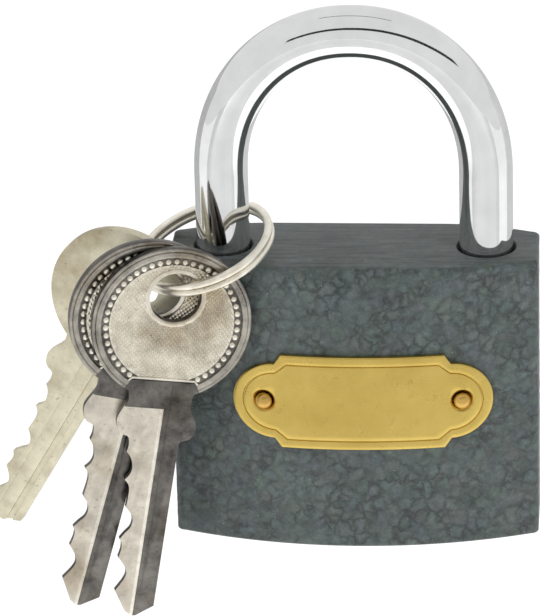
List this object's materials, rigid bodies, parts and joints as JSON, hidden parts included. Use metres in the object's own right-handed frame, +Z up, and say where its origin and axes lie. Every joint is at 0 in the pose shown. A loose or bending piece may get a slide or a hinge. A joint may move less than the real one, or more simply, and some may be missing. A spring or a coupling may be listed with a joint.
{
  "type": "keyed padlock with keys",
  "caption": "Painted cast iron padlock with a chromed lifting shackle, brass name plate, turning key cylinder and keys hanging from a split ring.",
  "frame": {"origin": "the inside of the shackle's crown, where the padlock hangs on a hasp or staple", "axes": "+Z up along the shackle's legs, +X to the right as seen facing the name plate, +Y away from the name plate through the body's thickness"},
  "size_m": [0.0767, 0.0265, 0.0835],
  "materials": {
    "body_paint": "dark grey hammered paint, half gloss",
    "shackle_chrome": "polished chrome plating on steel",
    "plate_brass": "satin yellow brass sheet",
    "rivet_brass": "dull brass",
    "plug_brass": "machined brass",
    "ring_steel": "nickel plated spring steel",
    "key_nickel": "nickel plated brass, scuffed",
    "key_nickel_plain": "nickel plated brass, milky and smooth",
    "lock_steel": "zinc plated steel",
    "spring_steel": "drawn spring wire"
  },
  "bodies": {
    "lock": {"lock_body": "body_paint", "shackle_spring": "spring_steel", "shackle_retaining_pin": "lock_steel", "plug_retaining_pin": "lock_steel", "driver_pin_1": "lock_steel", "driver_pin_2": "lock_steel", "driver_pin_3": "lock_steel", "driver_pin_4": "lock_steel", "driver_pin_5": "lock_steel", "pin_spring_1": "spring_steel", "pin_spring_2": "spring_steel", "pin_spring_3": "spring_steel", "pin_spring_4": "spring_steel", "pin_spring_5": "spring_steel", "chamber_plug_1": "body_paint", "chamber_plug_2": "body_paint", "chamber_plug_3": "body_paint", "chamber_plug_4": "body_paint", "chamber_plug_5": "body_paint", "name_plate": "plate_brass", "rivet_left": "rivet_brass", "rivet_right": "rivet_brass"},
    "shackle": {"shackle": "shackle_chrome"},
    "plug": {"plug": "plug_brass", "key_pin_1": "plug_brass", "key_pin_2": "plug_brass", "key_pin_3": "plug_brass", "key_pin_4": "plug_brass", "key_pin_5": "plug_brass"},
    "bolt": {"bolt": "lock_steel"},
    "ring": {"split_ring": "ring_steel"},
    "key_1": {"key_1": "key_nickel"},
    "key_2": {"key_2": "key_nickel"},
    "key_3": {"key_3": "key_nickel_plain"}
  },
  "joints": [
    {"name": "shackle_lift", "type": "slide", "parent": "lock", "child": "shackle", "axis": [0, 0, 1], "range_m": [0, 0.012], "deforming": ["shackle_spring"]},
    {"name": "plug_turn", "type": "hinge", "parent": "lock", "child": "plug", "pos_m": [0.002, 0, -0.06855], "axis": [0, 0, 1], "range_deg": [-90, 0]},
    {"name": "bolt_slide", "type": "slide", "parent": "lock", "child": "bolt", "axis": [1, 0, 0], "range_m": [-0.0023, 0]},
    {"name": "ring_swing", "type": "hinge", "parent": "lock", "child": "ring", "pos_m": [-0.01294, 0.00134, -0.02326], "axis": [-0.565, 0.8251, 0], "range_deg": [0, 60]},
    {"name": "key_1_swing", "type": "hinge", "parent": "ring", "child": "key_1", "pos_m": [-0.02315, -0.01172, -0.02898], "axis": [0.2491, -0.9673, 0.048], "range_deg": [-20, 15]},
    {"name": "key_2_swing", "type": "hinge", "parent": "ring", "child": "key_2", "pos_m": [-0.02509, -0.01055, -0.02932], "axis": [0.2491, -0.9673, 0.048], "range_deg": [-12, 12]},
    {"name": "key_3_swing", "type": "hinge", "parent": "ring", "child": "key_3", "pos_m": [-0.02861, -0.00498, -0.02923], "axis": [-0.342, -0.939, -0.035], "range_deg": [-12, 8]}
  ],
  "couplings": [
    {"joint": "bolt_slide", "follows": "plug_turn", "m_per_rad": 0.0014006}
  ]
}
